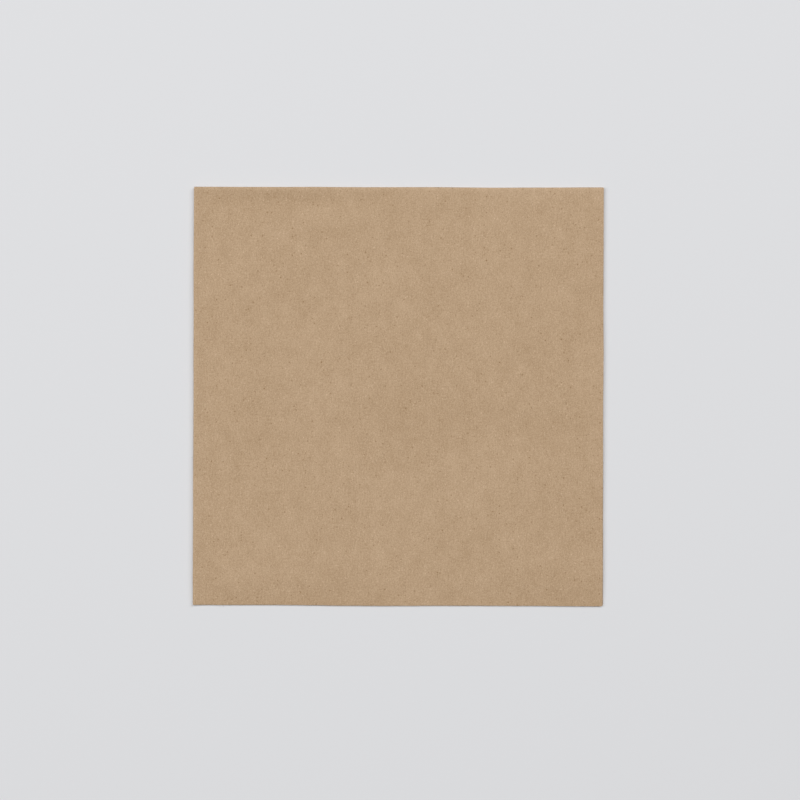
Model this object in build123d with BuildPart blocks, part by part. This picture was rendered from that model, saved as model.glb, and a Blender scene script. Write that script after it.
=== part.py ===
"""Paper napkin: one creped sheet, folded in half twice and lying flat.

Frame: +Z up, +X to the right, +Y away from the reader. The origin is at the centre of the
napkin's footprint, on the surface it lies on. Millimetres.

The first fold runs along Y and closes the left side. The second fold runs along X and closes
the far side, so the right and near sides show the cut edges of four layers.
"""
import os
from math import pi

from build123d import *

# Driving dimensions
sheet_width = 322.0         # cut sheet laid open, along X
sheet_length = 330.0        # cut sheet laid open, along Y
paper_thickness = 0.22      # one layer of soft creped paper
first_fold_gap = 0.12       # air between the two layers that the first fold closes
second_fold_gap = 0.24      # air between the two halves that the second fold closes
first_fold_offset = 0.3     # how far the first fold lies from the sheet's middle

# First fold: a half turn of the paper along the left side, closing an outer and an inner layer
first_roll_radius = (first_fold_gap + paper_thickness) / 2
doubled_thickness = 2 * paper_thickness + first_fold_gap
half_width = (sheet_width - pi * first_roll_radius) / 2
outer_layer_width = half_width + first_fold_offset
inner_layer_width = half_width - first_fold_offset

# Second fold: a half turn of the doubled sheet along the far side
second_roll_height = doubled_thickness + second_fold_gap / 2
outer_roll_radius = second_roll_height - paper_thickness / 2
inner_roll_radius = (second_fold_gap + paper_thickness) / 2
outer_layer_length = (sheet_length - pi * outer_roll_radius) / 2
inner_layer_length = (sheet_length - pi * inner_roll_radius) / 2

# Footprint, and the lines that the two rolls turn about
folded_width = outer_layer_width + first_roll_radius + paper_thickness / 2
folded_length = inner_layer_length + outer_roll_radius + paper_thickness / 2
right_side = folded_width / 2
first_roll_x = right_side - outer_layer_width
second_roll_y = folded_length / 2 - outer_roll_radius - paper_thickness / 2
outer_layer_height = paper_thickness / 2
inner_layer_height = doubled_thickness - paper_thickness / 2

with BuildPart() as folded_sheet:
    # The doubled sheet's section, with the first fold's roll at its left
    with BuildSketch(Plane.XZ.offset(-second_roll_y)) as doubled_section:
        with BuildLine():
            Line((right_side, outer_layer_height), (first_roll_x, outer_layer_height))
            CenterArc(
                (first_roll_x, outer_layer_height + first_roll_radius),
                first_roll_radius, start_angle=90, arc_size=180,
            )
            Line((first_roll_x, inner_layer_height),
                 (first_roll_x + inner_layer_width, inner_layer_height))
        trace(line_width=paper_thickness)
    extrude(amount=outer_layer_length)

    # The inner layer turns on the smaller roll, so the same sheet reaches further at the near side
    inner_layer_centre = first_roll_x + inner_layer_width / 2
    with BuildSketch(Plane.XZ.offset(outer_layer_length - second_roll_y)):
        with Locations((inner_layer_centre, inner_layer_height)):
            Rectangle(inner_layer_width, paper_thickness)
    extrude(amount=inner_layer_length - outer_layer_length)

    # The upper half repeats the lower half across the second fold, and the roll joins them
    mirror(about=Plane.XY.offset(second_roll_height))
    second_fold_line = Axis((0, second_roll_y, second_roll_height), (1, 0, 0))
    revolve(doubled_section.sketch, axis=second_fold_line, revolution_arc=180)

folded_sheet.part.label = "folded_sheet"

os.makedirs("parts", exist_ok=True)
export_step(folded_sheet.part, "parts/folded_sheet.step")
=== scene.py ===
"""Looks of the paper napkin: one sheet of brown kraft tissue, folded in quarters and lying flat.

The cut sheet is made flat, then folded by a rule in Geometry Nodes: a half turn about the first
fold line, then a half turn of the doubled sheet about the second. A second tree eases the stack
into soft waves, and a third lays loose fibres on the paper and stands them out of its cut edges.
Everything is in metres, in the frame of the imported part.
"""
from math import pi, radians

import bpy
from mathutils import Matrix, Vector


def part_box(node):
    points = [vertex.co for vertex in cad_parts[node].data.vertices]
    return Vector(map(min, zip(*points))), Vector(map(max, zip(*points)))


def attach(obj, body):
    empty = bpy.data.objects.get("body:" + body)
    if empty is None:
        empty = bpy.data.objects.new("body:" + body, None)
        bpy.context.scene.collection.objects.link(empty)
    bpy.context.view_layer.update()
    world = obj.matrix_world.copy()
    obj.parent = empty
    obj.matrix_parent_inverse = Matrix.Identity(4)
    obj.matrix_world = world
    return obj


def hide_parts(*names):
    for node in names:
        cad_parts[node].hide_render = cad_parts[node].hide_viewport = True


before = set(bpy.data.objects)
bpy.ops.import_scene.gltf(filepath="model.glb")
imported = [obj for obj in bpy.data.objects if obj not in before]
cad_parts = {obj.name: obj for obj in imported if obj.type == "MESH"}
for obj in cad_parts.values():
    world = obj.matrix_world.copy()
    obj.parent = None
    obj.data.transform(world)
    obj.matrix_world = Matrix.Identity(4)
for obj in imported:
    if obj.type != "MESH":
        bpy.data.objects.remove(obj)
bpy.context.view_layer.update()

MM = 0.001

# The sheet as it was cut, and where its folds lie
NODE = "folded_sheet"
SHEET_WIDTH = 322 * MM
SHEET_LENGTH = 330 * MM
PAPER_THICKNESS = 0.22 * MM
FIRST_FOLD_GAP = 0.12 * MM
FIRST_FOLD_OFFSET = 0.3 * MM
CREEP = 0.10                 # share of the inner layers' spare length that reaches their ends
low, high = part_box(NODE)
FIRST_ROLL_RADIUS = (FIRST_FOLD_GAP + PAPER_THICKNESS) / 2
FIRST_ROLL_X = low[0] + FIRST_ROLL_RADIUS + PAPER_THICKNESS / 2
SECOND_ROLL_HEIGHT = (low[2] + high[2]) / 2
SECOND_ROLL_RADIUS = SECOND_ROLL_HEIGHT - PAPER_THICKNESS / 2
SECOND_ROLL_Y = high[1] - SECOND_ROLL_RADIUS - PAPER_THICKNESS / 2
FOLD_SKEW = radians(0.05)    # how far the second fold is from square to the first

# Mesh steps: fine on the outer layer and the upper half, which show, and coarse on the rest
SHOWN_STEP = 1.15 * MM
HIDDEN_STEP = 3.2 * MM
ROLL_STEPS = 14
SHARP_CORNER = radians(40)   # a corner over this, as at the cut edges, is not shaded round

# Relief of the stack, as a share of its height
BROAD_WAVE = (52 * MM, 0.60)       # size of a wave, and its height
SMALL_WAVE = (11 * MM, 0.10)
EVERYWHERE = 10.0                  # a reach so long that a strip runs along a whole side
# Centre x and y, reach in x and y, and rise; a hollow is below zero
SWELLS = {
    "first fold's roll": (low[0], 0, 3.0 * MM, EVERYWHERE, 0.52),
    "second fold's roll": (0, high[1], EVERYWHERE, 2.6 * MM, 0.12),
    "second fold's roll at the left": (-45 * MM, 82.5 * MM, 27 * MM, 3.4 * MM, 0.30),
    "hollow behind it": (-43 * MM, 76 * MM, 30 * MM, 4.5 * MM, -0.16),
    "shallow hollow right of the middle": (24 * MM, 73 * MM, 20 * MM, 3.0 * MM, -0.10),
    "soft dip at the right": (38 * MM, -12 * MM, 46 * MM, 13 * MM, -0.16),
    "soft dip at the left": (-52 * MM, -16 * MM, 15 * MM, 20 * MM, -0.12),
    "near cut edges": (0, low[1], EVERYWHERE, 7.0 * MM, -0.32),
    "right cut edges": (high[0], 0, 2.0 * MM, EVERYWHERE, 0.05),
}
THINNEST = 0.70                    # the most that the stack is pressed
DRIFT = (38 * MM, 0.5 * MM)        # the layers' sideways drift: size of a wave, and its width
NIBBLE = (5 * MM, 0.14 * MM)       # unevenness of the cut edges
LAYER_STRETCH = 25.0               # how far the layers lie apart where their drifts are read

# Paper colours: the tissue's darker and lighter fibres, and where painted highlights and painted
# shade lie on it
DARK_TONE = (0.345, 0.227, 0.126, 1)
LIGHT_TONE = (0.576, 0.418, 0.278, 1)
# Painted highlights along the folds' rolls and painted shade in the hollows, the dips and towards
# the near edges, added to the tone: centre x and y, reach in x and y, and amount
PAINTED_LIGHT_AND_SHADE = {
    "first fold, painted highlight": (low[0], 0, 0.7 * MM, EVERYWHERE, 0.10),
    "second fold, painted highlight": (0, high[1], EVERYWHERE, 1.3 * MM, 0.12),
    "second fold at the right": (50 * MM, high[1], 45 * MM, 6.0 * MM, 0.09),
    "hollow behind the second fold": (-45 * MM, 78.6 * MM, 27 * MM, 3.0 * MM, -0.11),
    "shallow hollow right of the middle": (24 * MM, 73.5 * MM, 19 * MM, 1.6 * MM, -0.05),
    "soft dip at the right": (38 * MM, -7 * MM, 44 * MM, 11 * MM, -0.06),
    "soft dip at the left": (-52 * MM, -12 * MM, 14 * MM, 18 * MM, -0.03),
    "near cut edges": (0, low[1], EVERYWHERE, 7.5 * MM, -0.07),
    "near corner by the first fold": (-60 * MM, low[1], 50 * MM, 4.0 * MM, -0.04),
    "near corner by the cut edges": (66 * MM, -64 * MM, 22 * MM, 26 * MM, -0.05),
}

# Loose fibres: how many, and the least and most of their length and half thickness
LAID_FIBRES = (4200, 0.7 * MM, 2.4 * MM, 0.012 * MM, 0.030 * MM)
EDGE_FIBRES = (2600, 0.15 * MM, 0.55 * MM, 0.010 * MM, 0.018 * MM)
FIBRE_SIZES = ("Least Length", "Most Length", "Least Radius", "Most Radius")
LAID_TILT = 0.06
EDGE_TILT = 1.2
FIBRE_POINTS = 5
FIBRE_SEED = 7
FACES_UP = 0.7                     # least upward part of an upper face's normal
FIBRE_BEND = (0.7 * MM, 0.5 * MM)  # size and width of the waves that bend a fibre
DARK_FIBRE = (0.235, 0.145, 0.075, 1)
PALE_FIBRE = (0.74, 0.60, 0.44, 1)

# The tissue's mottle, from fine grain to broad clouds: grain size in millimetres across and along
# the sheet, roughness of the noise, and how strongly it changes the tone
GRAINS = {
    "fine": (0.30, 0.30, 2.0, 1.7),
    "coarse": (0.70, 0.70, 2.0, 0.9),
    "crepe": (0.42, 2.6, 2.0, 0.5),
    "mottle": (5.0, 7.5, 3.0, 0.42),
    "cloud": (34.0, 26.0, 2.0, 0.25),
}
# Flecks are where a long narrow grain passes the given range: grain size, range, and strength
PALE_FLECKS = ((0.25, 1.9), (0.62, 0.76), 0.35)
PALE_FLECK_TURNS = (0.35, 1.45, 2.5)
DARK_FLECKS = ((0.28, 1.5), (0.63, 0.78), -0.5)
DARK_FLECK_TURN = 0.9
DARK_SPECKS = (0.9, 0.045, -0.9)   # size in millimetres, share of spots, and strength
PALE_SPECKS = (0.7, 0.05, 0.7)
SPECK_FALL = 2.2                   # how sharply a speck fades to its rim
PLAIN_TONE = 0.5                   # half way from the dark tone to the light one
# Painted light: the cut edges' paper is made paler to lift the shade on their sideways rims
CUT_EDGE_PAINTED_LIGHT = 0.45
CREPE_HEIGHT = 1.4                 # against the height of the fine grain
FLECK_HEIGHT = 0.5
PAPER_BUMP = 0.05 * MM

FLOOR_COLOUR = (0.703, 0.707, 0.723, 1)
FLOOR_SIZE = 12.0
FLOOR_FADE = (0.5, 1.6)            # the floor turns into the plain backdrop between these radii

# One long softbox overhead, a little towards the far side, and a weak fill from all round
LAMP_PLACE = (-0.2, 0.75, 2.6)
LAMP_SIZE = (8.4, 1.2)
LAMP_POWER = 150
FILL = 0.12

LENS = 85                          # millimetres, on a sensor 36 mm wide
SENSOR = 36
FRAME_WIDTH = 0.31512              # how much of the floor the picture takes in
CAMERA_PLACE = (0.60 * MM, -1.22 * MM)
CAMERA_TURN = radians(0.12)


# Building node trees ----------------------------------------------------------------------


class Nodes:
    """Adds nodes to a tree and joins plain values or other nodes' outputs to their inputs."""

    def __init__(self, tree):
        self.tree = tree

    def put(self, value, socket):
        if isinstance(value, bpy.types.NodeSocket):
            self.tree.links.new(value, socket)
        else:
            socket.default_value = value

    def add(self, kind, inputs=None, **settings):
        node = self.tree.nodes.new(kind)
        for name, value in settings.items():
            setattr(node, name, value)
        for key, value in (inputs or {}).items():
            self.put(value, node.inputs[key])
        return node

    def math(self, operation, *values):
        node = self.add("ShaderNodeMath", operation=operation)
        for value, socket in zip(values, node.inputs):
            self.put(value, socket)
        return node.outputs[0]

    def total(self, first, *others):
        for other in others:
            first = self.math("ADD", first, other)
        return first

    def times(self, first, *others):
        for other in others:
            first = self.math("MULTIPLY", first, other)
        return first

    def less(self, first, second):
        return self.math("SUBTRACT", first, second)

    def vector_math(self, operation, *values):
        node = self.add("ShaderNodeVectorMath", operation=operation)
        for value, socket in zip(values, node.inputs):
            self.put(value, socket)
        return node.outputs[0]

    def split(self, vector):
        return self.add("ShaderNodeSeparateXYZ", {0: vector}).outputs

    def joined(self, x, y, z):
        return self.add("ShaderNodeCombineXYZ", {0: x, 1: y, 2: z}).outputs[0]

    def noise(self, place, size, detail=1.0):
        """Soft random values about 0.5, with waves of the given size."""
        inputs = {"Vector": place, "Scale": 1 / size, "Detail": detail, "Roughness": 0.5}
        return self.add("ShaderNodeTexNoise", inputs).outputs

    def wave(self, place, size, height, detail=1.0):
        return self.times(self.less(self.noise(place, size, detail)[0], 0.5), height)

    def shift(self, place, size, width):
        """A random sideways move of up to half the given width."""
        move = self.vector_math("SUBTRACT", self.noise(place, size)[1], (0.5, 0.5, 0.5))
        return self.vector_math("MULTIPLY", move, (width, width, 0))

    def hill(self, across, centre, reach):
        """Falls from 1 at the centre to a third at the given reach."""
        share = self.math("DIVIDE", self.less(across, centre), reach)
        return self.math("EXPONENT", self.times(share, share, -1.0))

    def hills(self, x, y, places):
        """Adds up soft hills and hollows."""
        return self.total(*[
            self.times(self.hill(x, centre_x, reach_x), self.hill(y, centre_y, reach_y), rise)
            for centre_x, centre_y, reach_x, reach_y, rise in places.values()
        ])

    def marked(self, geometry, name, value, domain="POINT"):
        inputs = {"Geometry": geometry, "Name": name, "Value": value}
        kind = "GeometryNodeStoreNamedAttribute"
        return self.add(kind, inputs, data_type="FLOAT", domain=domain).outputs[0]

    def mark(self, name):
        kind = "GeometryNodeInputNamedAttribute"
        return self.add(kind, {"Name": name}, data_type="FLOAT").outputs[0]

    def random(self, least, most, seed):
        node = self.add("FunctionNodeRandomValue", data_type="FLOAT")
        self.put(least, node.inputs[2])
        self.put(most, node.inputs[3])
        node.inputs["Seed"].default_value = seed
        return node.outputs[1]


def geometry_tree(name, *labels):
    """A geometry tree with one geometry in, one out, and a named number for each further input."""
    tree = bpy.data.node_groups.new(name, "GeometryNodeTree")
    tree.interface.new_socket("Geometry", in_out="INPUT", socket_type="NodeSocketGeometry")
    tree.interface.new_socket("Geometry", in_out="OUTPUT", socket_type="NodeSocketGeometry")
    for label in labels:
        tree.interface.new_socket(label, in_out="INPUT", socket_type="NodeSocketFloat")
    nodes = Nodes(tree)
    return nodes, nodes.add("NodeGroupInput").outputs, nodes.add("NodeGroupOutput").inputs


def finish_tree(nodes, geometry, out, material):
    real = nodes.add("GeometryNodeRealizeInstances", {0: geometry}).outputs[0]
    made = nodes.add("GeometryNodeSetMaterial", {"Geometry": real, "Material": material})
    nodes.put(made.outputs[0], out[0])
    return nodes.tree


def run_tree(piece, tree, sizes):
    """Puts the tree on the piece as a modifier and sets its inputs by their identifiers."""
    modifier = piece.modifiers.new(tree.name, "NODES")
    modifier.node_group = tree
    for item in tree.interface.items_tree:
        if item.in_out == "INPUT" and item.name in sizes:
            modifier[item.identifier] = sizes[item.name]


def new_piece(name, mesh):
    piece = bpy.data.objects.new(name, mesh)
    bpy.context.scene.collection.objects.link(piece)
    return piece


def as_plain_mesh(piece):
    """Replaces the piece's mesh by what its modifiers make of it, and removes them."""
    evaluated = piece.evaluated_get(bpy.context.evaluated_depsgraph_get())
    mesh = bpy.data.meshes.new_from_object(evaluated)
    mesh.name = piece.name
    piece.modifiers.clear()
    piece.data = mesh
    return piece


# The sheet --------------------------------------------------------------------------------


def stations(hidden_end, shown_end, roll_half):
    """Places along the sheet from one cut edge, across a fold line at 0, to the other."""

    def run(start, end, step):
        count = max(1, round(abs(end - start) / step))
        return [start + (end - start) * i / count for i in range(count)]

    hidden = run(-hidden_end, -roll_half, HIDDEN_STEP)
    roll = run(-roll_half, roll_half, 2 * roll_half / ROLL_STEPS)
    shown = run(roll_half, shown_end, SHOWN_STEP)
    return hidden + roll + shown + [shown_end]


def cut_sheet():
    """The sheet laid open: X across the first fold line, Y across the second, faces up.

    Positive X becomes the outer layer and positive Y the upper half.
    """
    across = stations(
        SHEET_WIDTH / 2 - FIRST_FOLD_OFFSET,
        SHEET_WIDTH / 2 + FIRST_FOLD_OFFSET,
        pi / 2 * FIRST_ROLL_RADIUS,
    )
    along = stations(SHEET_LENGTH / 2, SHEET_LENGTH / 2, pi / 2 * SECOND_ROLL_RADIUS)
    columns, rows = len(across), len(along)
    vertices = [(x, y, 0) for y in along for x in across]
    faces = [
        (row + column, row + column + 1, row + columns + column + 1, row + columns + column)
        for row in range(0, (rows - 1) * columns, columns)
        for column in range(columns - 1)
    ]
    mesh = bpy.data.meshes.new("cut_sheet")
    mesh.from_pydata(vertices, [], faces)
    flat_map = mesh.uv_layers.new(name="flat_sheet")
    for loop, entry in zip(mesh.loops, flat_map.data):
        entry.uv = vertices[loop.vertex_index][:2]
    return mesh


def turn_over(nodes, along, radius, roll_length):
    """A fold's rule: how far out of the fold line, and how high, a place along the sheet lies."""
    angle = nodes.add("ShaderNodeClamp", {
        "Value": nodes.math("DIVIDE", along, radius), "Min": -pi / 2, "Max": pi / 2,
    }).outputs[0]
    flat_run = nodes.less(nodes.math("ABSOLUTE", along), nodes.times(roll_length, 0.5))
    past_roll = nodes.math("MAXIMUM", flat_run, 0.0)
    out = nodes.less(nodes.times(nodes.math("COSINE", angle), radius), past_roll)
    rise = nodes.times(nodes.math("SINE", angle), radius)
    return out, rise


def fold_tree(paper):
    """Folds a flat sheet twice, each layer turning on its own radius."""
    sizes = {
        "Paper Thickness": PAPER_THICKNESS,
        "First Roll Radius": FIRST_ROLL_RADIUS,
        "First Roll X": FIRST_ROLL_X,
        "Second Roll Y": SECOND_ROLL_Y,
        "Second Roll Height": SECOND_ROLL_HEIGHT,
        "Creep": CREEP,
        "Skew": FOLD_SKEW,
    }
    nodes, given, out = geometry_tree("fold_twice", *sizes)
    across, along, _ = nodes.split(nodes.add("GeometryNodeInputPosition").outputs[0])
    shown = nodes.times(
        nodes.math("GREATER_THAN", across, 0.0), nodes.math("GREATER_THAN", along, 0.0)
    )
    sheet = nodes.marked(given["Geometry"], "shown", shown)

    # First fold: the outer layer stays below, and the inner layer turns over onto it
    radius = given["First Roll Radius"]
    reach, rise = turn_over(nodes, nodes.times(across, -1.0), radius, nodes.times(radius, pi))
    from_roll = nodes.times(reach, -1.0)
    height = nodes.total(rise, radius, nodes.times(given["Paper Thickness"], 0.5))

    # Second fold, a little out of square. Most of the inner layers' spare length stays in the roll
    x = nodes.total(given["First Roll X"], from_roll, nodes.times(along, given["Skew"], -1.0))
    along = nodes.total(along, nodes.times(from_roll, given["Skew"]))
    outermost = nodes.less(given["Second Roll Height"], nodes.times(given["Paper Thickness"], 0.5))
    roll_radius = nodes.less(given["Second Roll Height"], height)
    spare = nodes.times(nodes.less(outermost, roll_radius), given["Creep"])
    roll_length = nodes.times(nodes.less(outermost, spare), pi)
    reach, rise = turn_over(nodes, along, roll_radius, roll_length)
    y = nodes.total(given["Second Roll Y"], reach)
    z = nodes.total(given["Second Roll Height"], rise)

    placed = nodes.add("GeometryNodeSetPosition", {
        "Geometry": sheet, "Position": nodes.joined(x, y, z),
    })
    return finish_tree(nodes, placed.outputs[0], out, paper), sizes


def relief_tree(paper):
    """Eases the folded stack: waves, springy rolls, pressed edges, dents and drifting layers."""
    sizes = {
        "Paper Thickness": PAPER_THICKNESS,
        "Thinnest": THINNEST,
    }
    nodes, given, out = geometry_tree("ease_the_stack", *sizes)
    x, y, z = nodes.split(nodes.add("GeometryNodeInputPosition").outputs[0])

    # How much the stack is opened or pressed at each place, the same for all its layers
    flat_place = nodes.joined(x, y, 0.0)
    waves = nodes.total(nodes.wave(flat_place, *BROAD_WAVE), nodes.wave(flat_place, *SMALL_WAVE))
    swell = nodes.total(1.0, waves, nodes.hills(x, y, SWELLS))
    swell = nodes.math("MAXIMUM", swell, given["Thinnest"])
    underside = nodes.times(given["Paper Thickness"], 0.5)
    eased_z = nodes.total(underside, nodes.times(nodes.less(z, underside), swell))

    # Each layer drifts a little its own way, because the waves are read at stretched heights
    layered_place = nodes.joined(x, y, nodes.times(z, LAYER_STRETCH))
    moves = nodes.vector_math(
        "ADD", nodes.shift(layered_place, *DRIFT), nodes.shift(layered_place, *NIBBLE)
    )
    eased = nodes.vector_math("ADD", nodes.joined(x, y, eased_z), moves)
    placed = nodes.add("GeometryNodeSetPosition", {
        "Geometry": given["Geometry"], "Position": eased,
    })
    # Stores the painted highlights and painted shade that the paper's colour takes up
    shaded = nodes.marked(placed.outputs[0], "painted_light_and_shade", nodes.hills(x, y, PAINTED_LIGHT_AND_SHADE))
    return finish_tree(nodes, shaded, out, paper), sizes


def napkin(paper, cut_edge):
    piece = new_piece("napkin_sheet", cut_sheet())
    run_tree(piece, *fold_tree(paper))
    run_tree(piece, *relief_tree(paper))
    as_plain_mesh(piece)
    piece.data.materials.append(cut_edge)
    wall = piece.modifiers.new("paper_thickness", "SOLIDIFY")
    wall.thickness = PAPER_THICKNESS
    wall.offset = 0
    wall.material_offset_rim = 1
    as_plain_mesh(piece)
    piece.data.shade_smooth()
    piece.data.set_sharp_from_angle(angle=SHARP_CORNER)
    return piece


# Loose fibres -----------------------------------------------------------------------------


def fibre_spots(nodes, given, chosen):
    """Random points on the chosen faces, as many as the given count."""
    area = nodes.add("GeometryNodeAttributeStatistic", {
        "Geometry": given["Geometry"], "Selection": chosen(nodes),
        "Attribute": nodes.add("GeometryNodeInputMeshFaceArea").outputs[0],
    }, domain="FACE").outputs["Sum"]
    return nodes.add("GeometryNodeDistributePointsOnFaces", {
        "Mesh": given["Geometry"], "Selection": chosen(nodes),
        "Density": nodes.math("DIVIDE", given["Count"], area), "Seed": FIBRE_SEED,
    }, distribute_method="RANDOM").outputs


def straight_fibres(nodes, given, spots, tilt):
    """Sets down a straight line at each spot, turned at random and tilted up to tilt."""
    line = nodes.add("GeometryNodeCurvePrimitiveLine", {"Start": (-0.5, 0, 0), "End": (0.5, 0, 0)})
    fibre = nodes.add("GeometryNodeResampleCurve", {"Curve": line.outputs[0], "Count": FIBRE_POINTS})
    turn = nodes.joined(0.0, nodes.random(-tilt, tilt, 1), nodes.random(-pi, pi, 2))
    turned = nodes.add("FunctionNodeRotateRotation", {
        "Rotation": spots["Rotation"],
        "Rotate By": nodes.add("FunctionNodeEulerToRotation", {0: turn}).outputs[0],
    }, rotation_space="LOCAL")
    length = nodes.random(given["Least Length"], given["Most Length"], 3)
    laid = nodes.add("GeometryNodeInstanceOnPoints", {
        "Points": spots["Points"], "Instance": fibre.outputs[0],
        "Rotation": turned.outputs[0], "Scale": nodes.joined(length, 1.0, 1.0),
    })
    tinted = nodes.marked(laid.outputs[0], "tint", nodes.random(0.0, 1.0, 4), "INSTANCE")
    radius = nodes.random(given["Least Radius"], given["Most Radius"], 5)
    sized = nodes.marked(tinted, "half_thickness", radius, "INSTANCE")
    return nodes.add("GeometryNodeRealizeInstances", {0: sized}).outputs[0]


def bent_fibres(nodes, real):
    """Bends the lines by waves finer than a fibre is long, none below the floor."""
    place = nodes.add("GeometryNodeInputPosition").outputs[0]
    moved_x, moved_y, moved_z = nodes.split(
        nodes.vector_math("ADD", place, nodes.shift(place, *FIBRE_BEND))
    )
    above_floor = nodes.math("MAXIMUM", moved_z, nodes.mark("half_thickness"))
    return nodes.add("GeometryNodeSetPosition", {
        "Geometry": real, "Position": nodes.joined(moved_x, moved_y, above_floor),
    }).outputs[0]


def fibre_tree(name, chosen, tilt, material):
    """Scatters short bent fibres with a three-sided section on the chosen faces."""
    nodes, given, out = geometry_tree(name, "Count", *FIBRE_SIZES)
    spots = fibre_spots(nodes, given, chosen)
    bent = bent_fibres(nodes, straight_fibres(nodes, given, spots, tilt))
    section = nodes.add("GeometryNodeCurvePrimitiveCircle", {"Resolution": 3, "Radius": 1.0})
    solid = nodes.add("GeometryNodeCurveToMesh", {
        "Curve": bent, "Profile Curve": section.outputs[0],
        "Scale": nodes.mark("half_thickness"), "Fill Caps": True,
    }).outputs[0]
    return finish_tree(nodes, solid, out, material)


def upper_face(nodes):
    """The side of the uppermost layer that faces up."""
    normal_z = nodes.split(nodes.add("GeometryNodeInputNormal").outputs[0])[2]
    return nodes.times(nodes.mark("shown"), nodes.math("GREATER_THAN", normal_z, FACES_UP))


def cut_rim(nodes):
    """The faces along the sheet's four cut edges."""
    slot = nodes.add("GeometryNodeInputMaterialIndex").outputs[0]
    return nodes.math("GREATER_THAN", slot, 0.5)


def loose_fibres(name, sheet, chosen, tilt, sizes, material):
    piece = new_piece(name, sheet.data.copy())
    count, *rest = sizes
    tree = fibre_tree(name, chosen, tilt, material)
    run_tree(piece, tree, {"Count": float(count), **dict(zip(FIBRE_SIZES, rest))})
    as_plain_mesh(piece)
    piece.data.shade_smooth()
    return piece


# Materials --------------------------------------------------------------------------------


def new_material(name):
    material = bpy.data.materials.new(name)
    material.use_nodes = True
    material.node_tree.nodes.clear()
    nodes = Nodes(material.node_tree)
    shader = nodes.add("ShaderNodeBsdfPrincipled")
    output = nodes.add("ShaderNodeOutputMaterial")
    nodes.put(shader.outputs[0], output.inputs["Surface"])
    return material, nodes, shader.inputs


def grain_noise(nodes, size_x, size_y, turn=0.0, detail=2.0):
    """Noise on the sheet laid flat, with grains of the given size in millimetres."""
    flat = nodes.add("ShaderNodeUVMap", uv_map="flat_sheet").outputs[0]
    mapped = nodes.add("ShaderNodeMapping", {
        "Vector": flat,
        "Rotation": (0, 0, turn),
        "Scale": (1 / (size_x * MM), 1 / (size_y * MM), 1),
    })
    return nodes.noise(mapped.outputs[0], 1.0, detail)[0]


def specks(nodes, size, share):
    """1 at the middle of a few random spots, falling to 0 at their rims."""
    flat = nodes.add("ShaderNodeUVMap", uv_map="flat_sheet").outputs[0]
    cells = nodes.add("ShaderNodeTexVoronoi", {"Vector": flat, "Scale": 1 / (size * MM)})
    picked = nodes.math("GREATER_THAN", nodes.split(cells.outputs["Color"])[0], 1 - share)
    body = nodes.less(1.0, nodes.times(cells.outputs["Distance"], SPECK_FALL))
    return nodes.times(picked, nodes.math("MAXIMUM", body, 0.0))


def ramp(nodes, value, start, end):
    inputs = {"Value": value, "From Min": start, "From Max": end}
    return nodes.add("ShaderNodeMapRange", inputs, interpolation_type="SMOOTHSTEP").outputs[0]


def blend(nodes, factor, first, second, clamp=True):
    mix = nodes.add("ShaderNodeMix", data_type="RGBA", clamp_factor=clamp)
    for value, place in ((factor, 0), (first, 6), (second, 7)):
        nodes.put(value, mix.inputs[place])
    return mix.outputs[2]


def kraft_paper(name, painted_lift=0.0):
    """Unbleached tissue: crepe along the sheet, mottled fibres, flecks and a few dark specks."""
    material, nodes, shader = new_material(name)
    grains = {
        kind: grain_noise(nodes, size_x, size_y, detail=detail)
        for kind, (size_x, size_y, detail, _) in GRAINS.items()
    }
    mottling = [
        nodes.times(nodes.less(grains[kind], 0.5), strength)
        for kind, (*_, strength) in GRAINS.items()
    ]
    pale_size, pale_range, pale_strength = PALE_FLECKS
    pale_flecks = nodes.total(*[
        ramp(nodes, grain_noise(nodes, *pale_size, turn), *pale_range)
        for turn in PALE_FLECK_TURNS
    ])
    dark_size, dark_range, dark_strength = DARK_FLECKS
    dark_flecks = ramp(nodes, grain_noise(nodes, *dark_size, DARK_FLECK_TURN), *dark_range)
    tone = nodes.total(
        # a paler tone where painted light is asked for, as on the cut edges
        PLAIN_TONE + painted_lift,
        *mottling,
        nodes.times(pale_flecks, pale_strength),
        nodes.times(dark_flecks, dark_strength),
        *[
            nodes.times(specks(nodes, size, share), strength)
            for size, share, strength in (DARK_SPECKS, PALE_SPECKS)
        ],
        # the painted highlights and painted shade stored on the stack
        nodes.add("ShaderNodeAttribute", attribute_name="painted_light_and_shade").outputs["Fac"],
    )
    nodes.put(blend(nodes, tone, DARK_TONE, LIGHT_TONE, clamp=False), shader["Base Color"])
    height = nodes.total(
        grains["fine"],
        grains["coarse"],
        nodes.times(grains["crepe"], CREPE_HEIGHT),
        nodes.times(pale_flecks, FLECK_HEIGHT),
    )
    bump = nodes.add("ShaderNodeBump", {
        "Strength": 1.0, "Distance": PAPER_BUMP, "Height": height,
    })
    nodes.put(bump.outputs[0], shader["Normal"])
    shader["Roughness"].default_value = 0.95
    shader["Specular IOR Level"].default_value = 0.2
    shader["Sheen Weight"].default_value = 0.06
    return material


def wood_fibre():
    material, nodes, shader = new_material("wood_fibre")
    tint = nodes.add("ShaderNodeAttribute", attribute_name="tint").outputs["Fac"]
    nodes.put(blend(nodes, tint, DARK_FIBRE, PALE_FIBRE), shader["Base Color"])
    shader["Roughness"].default_value = 0.8
    shader["Specular IOR Level"].default_value = 0.25
    return material


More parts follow.
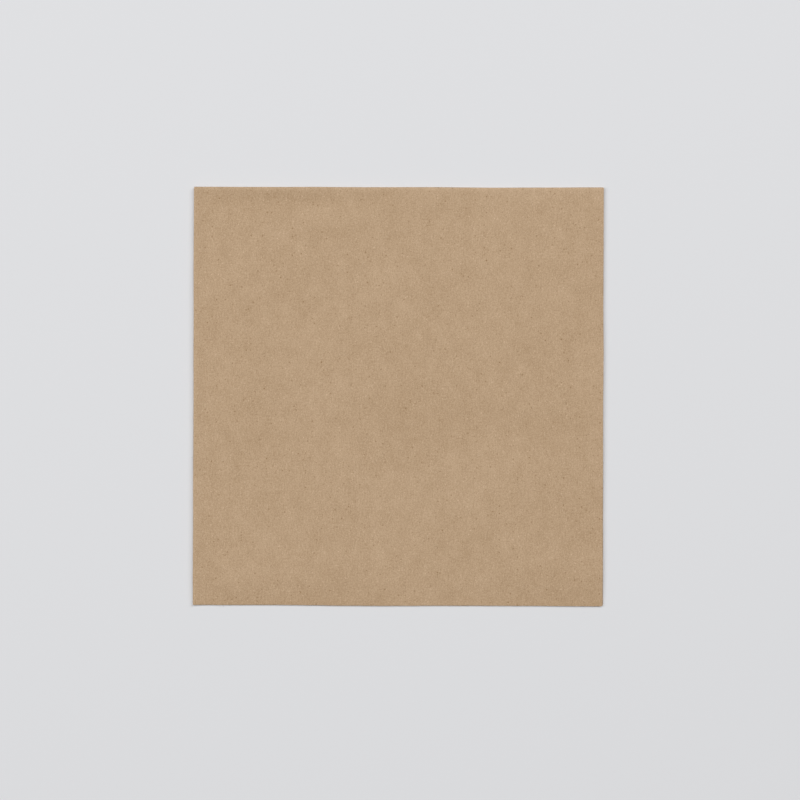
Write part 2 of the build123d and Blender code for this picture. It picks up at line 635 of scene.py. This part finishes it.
def pale_floor():
    """Matt floor that turns, well away from the napkin, into the backdrop's own plain colour."""
    material, nodes, shader = new_material("pale_floor")
    shader["Base Color"].default_value = FLOOR_COLOUR
    shader["Roughness"].default_value = 1.0
    shader["Specular IOR Level"].default_value = 0.0
    place = nodes.add("ShaderNodeTexCoord").outputs["Object"]
    radius = nodes.add("ShaderNodeVectorMath", {0: place}, operation="LENGTH").outputs["Value"]
    plain = nodes.add("ShaderNodeEmission", {"Color": FLOOR_COLOUR})
    far = ramp(nodes, radius, *FLOOR_FADE)
    mix = nodes.add("ShaderNodeMixShader", {0: far, 2: plain.outputs[0]})
    output = nodes.tree.nodes["Material Output"].inputs["Surface"]
    nodes.put(output.links[0].from_socket, mix.inputs[1])
    nodes.put(mix.outputs[0], output)
    return material


# Stage, light and camera ------------------------------------------------------------------


def lay_floor():
    half = FLOOR_SIZE / 2
    mesh = bpy.data.meshes.new("floor")
    corners = [(-half, -half, 0), (half, -half, 0), (half, half, 0), (-half, half, 0)]
    mesh.from_pydata(corners, [], [(0, 1, 2, 3)])
    mesh.materials.append(pale_floor())
    floor = new_piece("floor", mesh)


def aim(thing, target):
    thing.rotation_euler = (Vector(target) - thing.location).to_track_quat("-Z", "Y").to_euler()


def softbox(name, place, size, power):
    lamp = bpy.data.lights.new(name, "AREA")
    lamp.shape = "RECTANGLE"
    lamp.size, lamp.size_y = size
    lamp.energy = power
    thing = bpy.data.objects.new(name, lamp)
    bpy.context.scene.collection.objects.link(thing)
    thing.location = place
    aim(thing, (0, 0, 0))


def light_the_set():
    softbox("overhead_strip", LAMP_PLACE, LAMP_SIZE, LAMP_POWER)
    world = bpy.data.worlds.new("room")
    bpy.context.scene.world = world
    world.use_nodes = True
    world.node_tree.nodes.clear()
    nodes = Nodes(world.node_tree)
    seen = nodes.add("ShaderNodeLightPath")
    rays = nodes.math("MAXIMUM", seen.outputs["Is Camera Ray"], seen.outputs["Is Glossy Ray"])
    rays = nodes.math("MAXIMUM", rays, seen.outputs["Is Transmission Ray"])
    fill = nodes.add("ShaderNodeBackground", {"Color": (1, 1, 1, 1), "Strength": FILL})
    backdrop = nodes.add("ShaderNodeBackground", {"Color": FLOOR_COLOUR, "Strength": 1.0})
    mix = nodes.add("ShaderNodeMixShader", {0: rays, 1: fill.outputs[0], 2: backdrop.outputs[0]})
    output = nodes.add("ShaderNodeOutputWorld")
    nodes.put(mix.outputs[0], output.inputs["Surface"])


def set_camera():
    lens = bpy.data.cameras.new("camera")
    lens.lens = LENS
    lens.sensor_width = SENSOR
    camera = bpy.data.objects.new("camera", lens)
    bpy.context.scene.collection.objects.link(camera)
    camera.location = (*CAMERA_PLACE, high[2] + FRAME_WIDTH * LENS / SENSOR)
    camera.rotation_euler = (0, 0, CAMERA_TURN)
    bpy.context.scene.camera = camera


set_camera()
bpy.context.scene.view_settings.view_transform = "Standard"
light_the_set()
lay_floor()

# The cut edges take a paler paper, painted light on their shaded rims
sheet = napkin(kraft_paper("kraft_paper"), kraft_paper("cut_edge", CUT_EDGE_PAINTED_LIGHT))
fibre = wood_fibre()
laid = loose_fibres("laid_fibres", sheet, upper_face, LAID_TILT, LAID_FIBRES, fibre)
edge = loose_fibres("edge_fibres", sheet, cut_rim, EDGE_TILT, EDGE_FIBRES, fibre)
for piece in (sheet, laid, edge):
    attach(piece, "root")
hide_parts(NODE)
